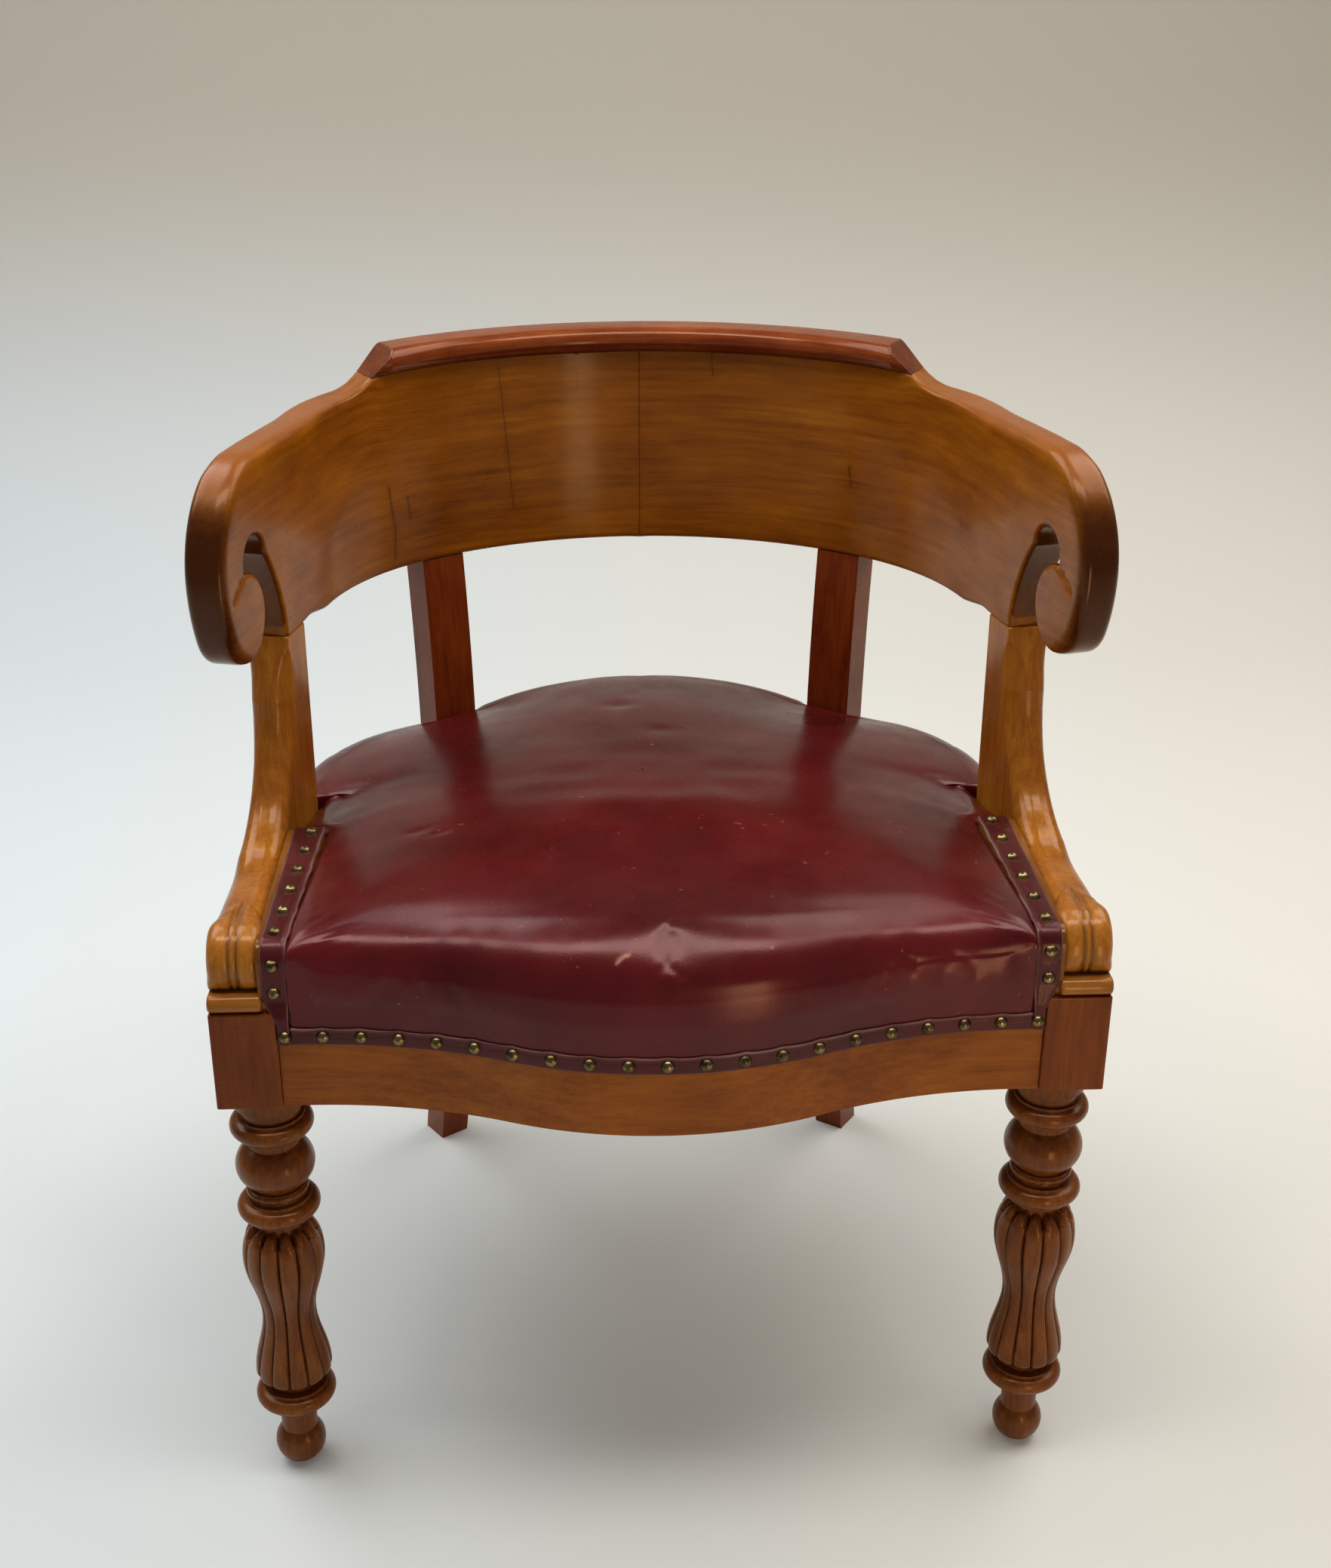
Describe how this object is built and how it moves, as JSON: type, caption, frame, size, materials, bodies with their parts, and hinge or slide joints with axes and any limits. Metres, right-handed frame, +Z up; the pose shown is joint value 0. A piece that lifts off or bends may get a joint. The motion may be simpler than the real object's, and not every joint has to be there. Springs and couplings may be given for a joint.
{
  "type": "desk armchair",
  "caption": "Tub-shaped desk armchair with scrolled arms, turned front legs and a sprung leather seat edged with round-headed nails.",
  "frame": {"origin": "on the floor under the middle of the chair's outline", "axes": "+Z up, the chair faces -Y, +X to the right when seen from the front"},
  "size_m": [0.6538, 0.5844, 0.777],
  "materials": {
    "polished_wood": "french polished, red-brown",
    "golden_wood": "french polished, worn honey-gold",
    "plain_wood": "unfinished",
    "screw_steel": "dull",
    "spring_steel": "drawn wire",
    "webbing": "woven jute",
    "hessian": "coarse weave",
    "stuffing": "fibre stuffing",
    "seat_leather": "glossy burgundy",
    "strip_leather": "glossy burgundy strip",
    "aged_brass": "antique, burnished"
  },
  "bodies": {
    "root": {"front_leg_left": "polished_wood", "front_leg_right": "polished_wood", "rear_leg_left": "polished_wood", "rear_leg_right": "polished_wood", "side_rail_left": "polished_wood", "side_rail_right": "polished_wood", "back_rail": "polished_wood", "band_left": "polished_wood", "band_right": "polished_wood", "crest_rail": "polished_wood", "front_rail": "golden_wood", "arm_support_left": "golden_wood", "arm_support_right": "golden_wood", "band_dowels": "plain_wood", "support_dowels": "plain_wood", "corner_blocks": "plain_wood", "corner_screws": "screw_steel", "webbing_long": "webbing", "webbing_cross": "webbing", "seat_springs": "spring_steel", "spring_hessian": "hessian", "seat_stuffing": "stuffing", "seat_leather": "seat_leather", "front_trim": "strip_leather", "side_trim_left": "strip_leather", "side_trim_right": "strip_leather", "rear_trim": "strip_leather", "front_nails": "aged_brass", "side_nails_left": "aged_brass", "side_nails_right": "aged_brass", "rear_nails": "aged_brass"}
  },
  "joints": []
}
